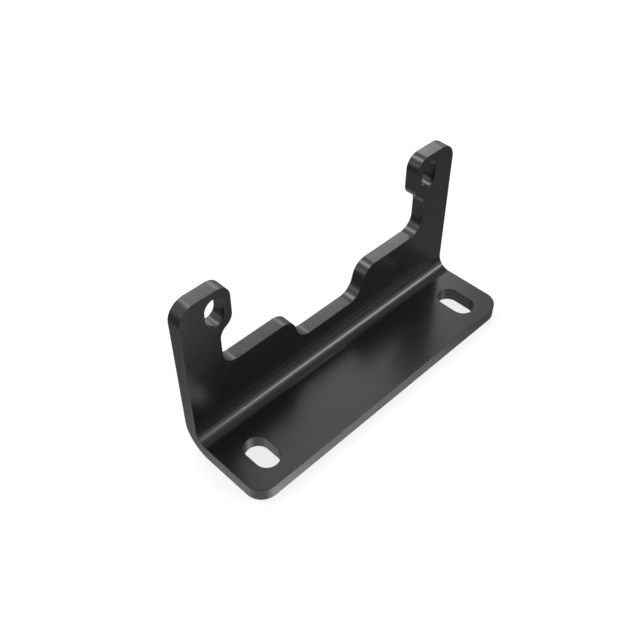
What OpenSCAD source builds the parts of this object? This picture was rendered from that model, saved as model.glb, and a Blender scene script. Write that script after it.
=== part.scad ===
// Air line bracket: one piece of steel sheet, cut out, bent once at a right angle and coated black.
// The base carries two slots for the bolts that hold it down. The upright has two ears with a slot
// each, a wide gap between the ears and a shallower notch in the middle, where the air lines pass.
// Millimetres, +X along the bend, +Y towards the upright, +Z up. The origin is the middle of the
// bracket's footprint, on the underside of the base.

/* [Sheet] */
// Thickness of the steel sheet
sheet_t = 5; // [3:0.5:6]
// Inner radius of the bend
bend_r = 5; // [2:0.5:7]

/* [Base] */
// Length of the bracket along its bend
bracket_len = 117.5; // [105:0.5:160]
// Depth of the base, from its front edge to the back face of the upright
base_depth = 34; // [32:0.5:60]
// Radius of the base's two front corners
base_corner_r = 6.2; // [2:0.1:9]

/* [Upright] */
// Height of the ears above the underside of the base
ear_h = 60; // [57:0.5:90]
// Height of the shoulders between the ears
shoulder_h = 29; // [25:0.5:34]
// Height of the notch's floor, in the middle of the upright
notch_h = 18; // [15:0.5:22]
// Width of the notch's mouth, at the height of the shoulders
notch_mouth_w = 34.1; // [28:0.1:48]
// How far each flank of the notch leans in between its mouth and its floor
notch_lean = 3.2; // [0:0.1:6]
// Radius of the notch's two upper and two lower corners
notch_corner_r = 6; // [1:0.1:6.5]

/* [Ears] */
// Width of the pad that each ear ends in
pad_w = 18.5; // [16:0.1:24]
// Height of each pad, from the ear's top to the start of its narrowing flank
pad_h = 14.1; // [12:0.1:16]
// Height that the narrowing flank takes between the pad and the neck
flank_h = 2.6; // [1:0.1:3.5]
// Width of the neck below each pad
neck_w = 13.6; // [10:0.1:15]
// Radius of each ear's outer top corner
ear_outer_r = 6.2; // [1:0.1:8]
// Radius of each ear's inner top corner
ear_inner_r = 4.9; // [1:0.1:6]
// Radius of the two soft corners on the narrowing flank
flank_r = 4.4; // [1:0.1:4.6]
// Radius at the foot of each neck, where it meets the shoulder
neck_foot_r = 5.2; // [1:0.1:6]

/* [Base slots] */
// Width of both base slots, which clears an M8 bolt
base_slot_w = 8.4; // [5:0.1:11]
// Length of the left base slot, across the bend
left_slot_len = 13; // [11.5:0.1:18]
// Length of the right base slot, across the bend
right_slot_len = 14.2; // [11.5:0.1:18]
// Distance from the bracket's left end to the middle of the left base slot
left_slot_inset = 11.6; // [8:0.1:20]
// Distance from the bracket's right end to the middle of the right base slot
right_slot_inset = 11.2; // [8:0.1:20]
// Distance from the base's front edge to the middle of both base slots
base_slot_setback = 11.9; // [10:0.1:14]

/* [Ear slots] */
// Width of both ear slots, which clears an M6 bolt
ear_slot_w = 6.8; // [4:0.1:9]
// Length of both ear slots, along the ear
ear_slot_len = 10.5; // [9.5:0.1:13]
// Wall left between each ear slot and the pad's top and inner edges
ear_slot_wall = 2.7; // [2:0.1:4]

/* [Hidden] */
$fn = 128;
// How far a cutting or filling shape runs past the faces that it meets
past = 1;
// The most of a straight side that one corner's rounding may take up
most_of_side = 0.49;
// How much larger an arc's circle is than its radius, so that it crosses both sides of its corner
hair = 0.0002;

half_len = bracket_len / 2;
front_y = -base_depth / 2;
back_y = base_depth / 2;
face_y = back_y - sheet_t;
pad_x = half_len - pad_w;
neck_x = half_len - neck_w;
pad_bottom_z = ear_h - pad_h;
neck_top_z = pad_bottom_z - flank_h;
mouth_x = notch_mouth_w / 2;
floor_x = mouth_x - notch_lean;
base_slot_y = front_y + base_slot_setback;
ear_slot_x = pad_x + ear_slot_wall + ear_slot_w / 2;
ear_slot_z = ear_h - ear_slot_wall - ear_slot_len / 2;

// Right half of the upright seen from the front, from the notch's middle round to the bend's end
right_outline = [
    [floor_x, notch_h, notch_corner_r],
    [mouth_x, shoulder_h, notch_corner_r],
    [neck_x, shoulder_h, neck_foot_r],
    [neck_x, neck_top_z, flank_r],
    [pad_x, pad_bottom_z, flank_r],
    [pad_x, ear_h, ear_inner_r],
    [half_len, ear_h, ear_outer_r],
    [half_len, 0, 0]
];

// The same corners mirrored to the left and taken the other way round, so that the outline closes
left_outline = [
    for (i = [len(right_outline) - 1 : -1 : 0])
        [-right_outline[i].x, right_outline[i].y, right_outline[i].z]
];

function unit(v) = v / norm(v);
function turn(a, b, c) = (b - a).x * (c - b).y - (b - a).y * (c - b).x;

// The sliver between a corner and the arc that rounds it, with its outer sides pushed past the edges
module corner_sliver(before, corner, after, wanted_r) {
    to_before = unit(before - corner);
    to_after = unit(after - corner);
    half_angle = acos(to_before * to_after) / 2;
    side = min(norm(before - corner), norm(after - corner));
    r = min(wanted_r, side * most_of_side * tan(half_angle));
    reach = r / tan(half_angle);
    centre = corner + unit(to_before + to_after) * r / sin(half_angle);
    grow = (r + past) / r;
    difference() {
        polygon([
            centre,
            centre + (corner + to_before * reach - centre) * grow,
            centre + (corner - centre) * grow,
            centre + (corner + to_after * reach - centre) * grow
        ]);
        translate(centre) circle(r + hair);
    }
}

// A plate from corners given as [x, y, radius], listed clockwise, each rounded by a true arc
module rounded_plate(corners, thickness) {
    count = len(corners);
    points = [for (c = corners) [c.x, c.y]];
    function neighbour(i, step) = points[(i + step + count) % count];
    function is_inner(i) = turn(neighbour(i, -1), points[i], neighbour(i, 1)) > 0;
    difference() {
        union() {
            linear_extrude(thickness) polygon(points);
            for (i = [0 : count - 1])
                if (corners[i].z > 0 && is_inner(i))
                    linear_extrude(thickness)
                        corner_sliver(neighbour(i, -1), points[i], neighbour(i, 1), corners[i].z);
        }
        for (i = [0 : count - 1])
            if (corners[i].z > 0 && !is_inner(i))
                translate([0, 0, -past])
                    linear_extrude(thickness + 2 * past)
                        corner_sliver(neighbour(i, -1), points[i], neighbour(i, 1), corners[i].z);
    }
}

// The bent sheet as its section along the bend, before its outlines are cut
module bent_sheet() {
    section = [
        [front_y, 0, 0],
        [front_y, sheet_t, 0],
        [face_y, sheet_t, bend_r],
        [face_y, ear_h + past, 0],
        [back_y, ear_h + past, 0],
        [back_y, 0, bend_r + sheet_t]
    ];
    translate([-half_len - past, 0, 0])
        rotate([90, 0, 90])
            rounded_plate(section, bracket_len + 2 * past);
}

// What the front view keeps of the sheet: ears, necks, shoulders and the notch between them
module front_view() {
    translate([0, back_y + past, 0])
        rotate([90, 0, 0])
            rounded_plate(concat(left_outline, right_outline), base_depth + 2 * past);
}

// What the plan view keeps of the sheet: the footprint with the base's rounded front corners
module plan_view() {
    footprint = [
        [-half_len, front_y, base_corner_r],
        [-half_len, back_y + past, 0],
        [half_len, back_y + past, 0],
        [half_len, front_y, base_corner_r]
    ];
    translate([0, 0, -past])
        rounded_plate(footprint, ear_h + 2 * past);
}

// Cutter for a round-ended slot, long along Y, standing on its own plane
module slot_cutter(w, length, depth) {
    straight = length - w;
    translate([-w / 2, -straight / 2, 0]) cube([w, straight, depth]);
    for (end = [-1, 1])
        translate([0, end * straight / 2, 0]) cylinder(r = w / 2, h = depth);
}

// Cutters for both slots that take the bolts of the base
module base_slots() {
    depth = sheet_t + 2 * past;
    translate([-half_len + left_slot_inset, base_slot_y, -past])
        slot_cutter(base_slot_w, left_slot_len, depth);
    translate([half_len - right_slot_inset, base_slot_y, -past])
        slot_cutter(base_slot_w, right_slot_len, depth);
}

// Cutters for the slot in each ear
module ear_slots() {
    for (side = [-1, 1])
        translate([side * ear_slot_x, back_y + past, ear_slot_z])
            rotate([90, 0, 0])
                slot_cutter(ear_slot_w, ear_slot_len, sheet_t + 2 * past);
}

// The bracket, one sheet bent once
module bracket() {
    color([0.11, 0.11, 0.12])
        difference() {
            intersection() {
                bent_sheet();
                front_view();
                plan_view();
            }
            base_slots();
            ear_slots();
        }
}

bracket();
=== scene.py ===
"""The air line bracket in satin black powder coat, on a plain pale floor under soft studio light."""

import math

import bpy
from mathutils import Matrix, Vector

# Camera, solved from the bracket's straight edges in the photograph
CAMERA_PLACE = (-0.1453, -0.1284, 0.2188)
CAMERA_TOWARDS = (0.5, 0.5, -math.sqrt(0.5))
CAMERA_LENS = 48.0
CAMERA_NEAR = 0.005
SENSOR_WIDTH = 36.0

# Skin of the bracket: what counts as one point and one flat face, and how the coat rounds the edges
ONE_POINT = 0.000001
ONE_FLAT = math.radians(0.2)
EDGE_ROUND = 0.00018
EDGE_STEPS = 3
SHARP_FROM = math.radians(40)

# Powder coat: colour, roughness, and the sizes and heights of its texture
PIGMENT_DARK = (0.0064, 0.0064, 0.0066, 1)
PIGMENT_LIGHT = (0.0088, 0.0088, 0.0091, 1)
CLOUD_SIZE = 0.014
COAT_IOR = 1.5
ROUGHNESS_LOW = 0.22
ROUGHNESS_HIGH = 0.27
ROUGHNESS_SIZE = 0.0027
PEEL_SIZE = 0.0009
PEEL_HEIGHT = 0.0000008
GRAIN_SIZE = 0.00022
GRAIN_HEIGHT = 0.00000015

# Range that noise mostly stays in
NOISE_LOW = 0.3
NOISE_HIGH = 0.7

# Sockets of a colour mix, which share their names with other sockets
MIX_FACTOR = 0
MIX_FIRST = 6
MIX_SECOND = 7
MIX_RESULT = 2

# Studio floor: the camera sees it partly shine, more so away from the bracket, until it is plain white
FLOOR_SIZE = 6.0
FLOOR_COLOUR = (0.88, 0.88, 0.88, 1)
WHITE = (1, 1, 1, 1)
SHINE = 1.22
SHINE_NEAR_BRACKET = 0.62
SHADOWS_END = 0.35
ALL_WHITE_FROM = 1.2

# Soft boxes: where, in degrees round the bracket and above it, how wide and high, and how bright
SOFT_BOXES = {
    "key": (-52, 29, 29, 8, 11.2),
    "back_right": (48.5, 35, 26, 19, 2.9),
    "back_top": (106, 62, 20, 16, 6.4),
    "back_bridge": (79, 49, 25, 13, 2.8),
    "back_left": (151, 27, 12, 18, 1.8),
}
BOX_DISTANCE = 1.0

# Light of the room itself: the even fill, and what the coat mirrors
ROOM_FILL = (0.5, 0.5, 0.5, 1)
ROOM_BELOW = 0.23
ROOM_ABOVE = 0.58
HORIZON_BLUR = 0.2

# Glows of the room in the coat: where, in degrees, full within one angle, gone at the next, how bright
ROOM_GLOWS = {
    "round_the_key": (-69, 25, 6, 36, 0.8),
    "back_right": (42, 20, 8, 34, 0.6),
    "back_high": (39, 58, 4, 13, 1.2),
    "back_left": (146, 44, 10, 36, 0.7),
    "low_back": (150, -44, 8, 22, 0.25),
    "low_front": (-76, -34, 4, 17, 1.4),
    "low_right": (-38, -50, 3, 8, 1.1),
    "under": (-140, -76, 35, 46, 0.65),
    "under_front": (-66, -67.5, 13, 18, 1.75),
}


def link(thing):
    """Puts an object into the scene."""
    bpy.context.scene.collection.objects.link(thing)
    return thing


def aim(thing, towards):
    """Turns a camera or a lamp to look along a direction."""
    thing.rotation_euler = Vector(towards).to_track_quat("-Z", "Y").to_euler()


def direction(around, above):
    """The direction at an angle round the bracket from +X, and an angle above the floor, in degrees."""
    flat = math.cos(math.radians(above))
    x = flat * math.cos(math.radians(around))
    y = flat * math.sin(math.radians(around))
    return Vector((x, y, math.sin(math.radians(above))))


def make_camera():
    """The camera at the photograph's place, angle and lens."""
    data = bpy.data.cameras.new("camera")
    data.lens = CAMERA_LENS
    data.sensor_width = SENSOR_WIDTH
    data.clip_start = CAMERA_NEAR
    camera = link(bpy.data.objects.new("camera", data))
    camera.location = CAMERA_PLACE
    aim(camera, CAMERA_TOWARDS)
    bpy.context.scene.camera = camera


def soft_box(name, around, above, width, height, radiance):
    """A rectangular soft box that faces the bracket, its width and height as seen from there in degrees."""
    data = bpy.data.lights.new(name, "AREA")
    data.shape = "RECTANGLE"
    data.size = 2 * BOX_DISTANCE * math.tan(math.radians(width / 2))
    data.size_y = 2 * BOX_DISTANCE * math.tan(math.radians(height / 2))
    data.energy = radiance * math.pi * data.size * data.size_y
    lamp = link(bpy.data.objects.new(name, data))
    lamp.location = direction(around, above) * BOX_DISTANCE
    aim(lamp, -lamp.location)
    lamp.visible_camera = False


def node(tree, kind, **values):
    """Adds a shader node. A value goes to the input, or else the property, of that name."""
    made = tree.nodes.new(kind)
    for name, value in values.items():
        socket = made.inputs.get(name.replace("_", " "))
        if socket is None:
            setattr(made, name, value)
        else:
            socket.default_value = value
    return made


def join(tree, source, source_name, target, target_name):
    """Links an output to an input, both by name."""
    tree.links.new(source.outputs[source_name], target.inputs[target_name])


def combine(tree, operation, first, second):
    """One number made from two, by a sum such as ADD or MAXIMUM."""
    made = node(tree, "ShaderNodeMath", operation=operation)
    tree.links.new(first, made.inputs[0])
    tree.links.new(second, made.inputs[1])
    return made.outputs[0]


def blend(tree, share, first, second):
    """A mix of two shaders, with this share of the second."""
    made = node(tree, "ShaderNodeMixShader")
    tree.links.new(share, made.inputs[0])
    tree.links.new(first.outputs[0], made.inputs[1])
    tree.links.new(second.outputs[0], made.inputs[2])
    return made


def ramp(tree, value, low, high, at_low, at_high, curve="SMOOTHSTEP"):
    """Goes from one value to another while its input goes from low to high."""
    made = node(tree, "ShaderNodeMapRange", interpolation_type=curve)
    made.inputs["From Min"].default_value = low
    made.inputs["From Max"].default_value = high
    made.inputs["To Min"].default_value = at_low
    made.inputs["To Max"].default_value = at_high
    tree.links.new(value, made.inputs["Value"])
    return made.outputs["Result"]


def seen_directly(tree):
    """1 for the rays that show the background: camera, mirror and see-through rays."""
    path = node(tree, "ShaderNodeLightPath")
    both = combine(tree, "MAXIMUM", path.outputs["Is Camera Ray"], path.outputs["Is Glossy Ray"])
    return combine(tree, "MAXIMUM", both, path.outputs["Is Transmission Ray"])


def glow(tree, around, above, inner, outer, strength):
    """A round glow in the room, full within the inner angle and gone at the outer one."""
    place = node(tree, "ShaderNodeTexCoord")
    near = node(tree, "ShaderNodeVectorMath", operation="DOT_PRODUCT")
    near.inputs[1].default_value = direction(around, above)
    join(tree, place, "Generated", near, "Vector")
    gone = math.cos(math.radians(outer))
    full = math.cos(math.radians(inner))
    return ramp(tree, near.outputs["Value"], gone, full, 0, strength)


def mirrored_room(tree):
    """How bright the room is in each direction: pale above, darker below, with soft glows."""
    place = node(tree, "ShaderNodeTexCoord")
    apart = node(tree, "ShaderNodeSeparateXYZ")
    join(tree, place, "Generated", apart, "Vector")
    total = ramp(tree, apart.outputs["Z"], -HORIZON_BLUR, HORIZON_BLUR, ROOM_BELOW, ROOM_ABOVE)
    for spot in ROOM_GLOWS.values():
        total = combine(tree, "ADD", total, glow(tree, *spot))
    return total


def make_world():
    """White to the camera, a pale room to the coat's reflections, and an even fill where it lights."""
    world = bpy.data.worlds.new("studio")
    world.use_nodes = True
    world.cycles.sampling_method = "NONE"
    tree = world.node_tree
    tree.nodes.clear()
    path = node(tree, "ShaderNodeLightPath")
    strength = node(tree, "ShaderNodeMix", data_type="FLOAT")
    strength.inputs["B"].default_value = 1.0
    join(tree, path, "Is Camera Ray", strength, "Factor")
    tree.links.new(mirrored_room(tree), strength.inputs["A"])
    fill = node(tree, "ShaderNodeBackground", Color=ROOM_FILL)
    room = node(tree, "ShaderNodeBackground", Color=WHITE)
    join(tree, strength, "Result", room, "Strength")
    out = node(tree, "ShaderNodeOutputWorld")
    join(tree, blend(tree, seen_directly(tree), fill, room), "Shader", out, "Surface")
    bpy.context.scene.world = world


def floor_material():
    """Pale matt floor that keeps the bracket's shadow, and is as white as the background further out."""
    material = bpy.data.materials.new("floor")
    material.use_nodes = True
    material.cycles.emission_sampling = "NONE"
    tree = material.node_tree
    tree.nodes.clear()
    place = node(tree, "ShaderNodeTexCoord")
    away = node(tree, "ShaderNodeVectorMath", operation="LENGTH")
    join(tree, place, "Object", away, "Vector")
    whiter = ramp(tree, away.outputs["Value"], SHADOWS_END, ALL_WHITE_FROM, SHINE_NEAR_BRACKET, 1)
    share = combine(tree, "MULTIPLY", seen_directly(tree), whiter)
    matt = node(tree, "ShaderNodeBsdfDiffuse", Color=FLOOR_COLOUR)
    shine = node(tree, "ShaderNodeEmission", Color=WHITE, Strength=SHINE)
    out = node(tree, "ShaderNodeOutputMaterial")
    join(tree, blend(tree, share, matt, shine), "Shader", out, "Surface")
    return material


def make_floor():
    """A flat floor under the bracket, which the coat doesn't mirror."""
    half = FLOOR_SIZE / 2
    corners = [(-half, -half, 0), (half, -half, 0), (half, half, 0), (-half, half, 0)]
    mesh = bpy.data.meshes.new("floor")
    mesh.from_pydata(corners, [], [(0, 1, 2, 3)])
    floor = link(bpy.data.objects.new("floor", mesh))
    floor.data.materials.append(floor_material())
    floor.visible_glossy = False


def noise(tree, coordinates, size, detail=2.0):
    """Noise whose features are about this many metres across, the same on every face."""
    made = node(tree, "ShaderNodeTexNoise", Scale=1 / size, Detail=detail)
    join(tree, coordinates, "Object", made, "Vector")
    return made.outputs[0]


def coat_colour(tree, coordinates):
    """Near-black pigment, a little lighter in soft clouds."""
    pigment = node(tree, "ShaderNodeMix", data_type="RGBA")
    pigment.inputs[MIX_FIRST].default_value = PIGMENT_DARK
    pigment.inputs[MIX_SECOND].default_value = PIGMENT_LIGHT
    clouds = noise(tree, coordinates, CLOUD_SIZE, detail=4.0)
    tree.links.new(clouds, pigment.inputs[MIX_FACTOR])
    return pigment.outputs[MIX_RESULT]


def coat_roughness(tree, coordinates):
    """Uneven gloss, in patches a few millimetres across."""
    patches = noise(tree, coordinates, ROUGHNESS_SIZE, detail=3.0)
    return ramp(tree, patches, NOISE_LOW, NOISE_HIGH, ROUGHNESS_LOW, ROUGHNESS_HIGH, curve="LINEAR")


def coat_relief(tree, coordinates):
    """Orange peel over a finer grain."""
    fine = node(tree, "ShaderNodeBump", Distance=GRAIN_HEIGHT, Strength=1.0)
    coarse = node(tree, "ShaderNodeBump", Distance=PEEL_HEIGHT, Strength=1.0)
    tree.links.new(noise(tree, coordinates, GRAIN_SIZE), fine.inputs["Height"])
    tree.links.new(noise(tree, coordinates, PEEL_SIZE), coarse.inputs["Height"])
    join(tree, fine, "Normal", coarse, "Normal")
    return coarse.outputs["Normal"]


def powder_coat():
    """Satin black powder coat."""
    material = bpy.data.materials.new("coated_steel")
    material.use_nodes = True
    tree = material.node_tree
    shader = tree.nodes["Principled BSDF"]
    shader.inputs["IOR"].default_value = COAT_IOR
    shader.inputs["Metallic"].default_value = 0.0
    coordinates = node(tree, "ShaderNodeTexCoord")
    tree.links.new(coat_colour(tree, coordinates), shader.inputs["Base Color"])
    tree.links.new(coat_roughness(tree, coordinates), shader.inputs["Roughness"])
    tree.links.new(coat_relief(tree, coordinates), shader.inputs["Normal"])
    return material


def soften_edges(part):
    """Rounds the cut edges a little, as the coat does, and keeps the flat faces flat."""
    weld = part.modifiers.new("closed_skin", "WELD")
    weld.merge_threshold = ONE_POINT
    flat = part.modifiers.new("whole_faces", "DECIMATE")
    flat.decimate_type = "DISSOLVE"
    flat.angle_limit = ONE_FLAT
    edges = part.modifiers.new("rounded_edges", "BEVEL")
    edges.width = EDGE_ROUND
    edges.segments = EDGE_STEPS
    edges.limit_method = "ANGLE"
    edges.angle_limit = SHARP_FROM
    shading = part.modifiers.new("even_shading", "WEIGHTED_NORMAL")
    shading.keep_sharp = False


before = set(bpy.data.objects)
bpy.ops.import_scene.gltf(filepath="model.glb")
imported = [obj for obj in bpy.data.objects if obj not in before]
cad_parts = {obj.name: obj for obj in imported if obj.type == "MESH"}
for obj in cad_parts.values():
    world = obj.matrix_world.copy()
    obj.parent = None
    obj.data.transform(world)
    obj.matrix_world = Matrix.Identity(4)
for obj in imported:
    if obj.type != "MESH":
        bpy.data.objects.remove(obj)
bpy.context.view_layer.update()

scene = bpy.context.scene
scene.view_settings.view_transform = "Standard"
make_camera()
make_world()
make_floor()
for name, box in SOFT_BOXES.items():
    soft_box(name, *box)

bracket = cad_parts["bracket"]
soften_edges(bracket)
bracket.material_slots[0].material = powder_coat()
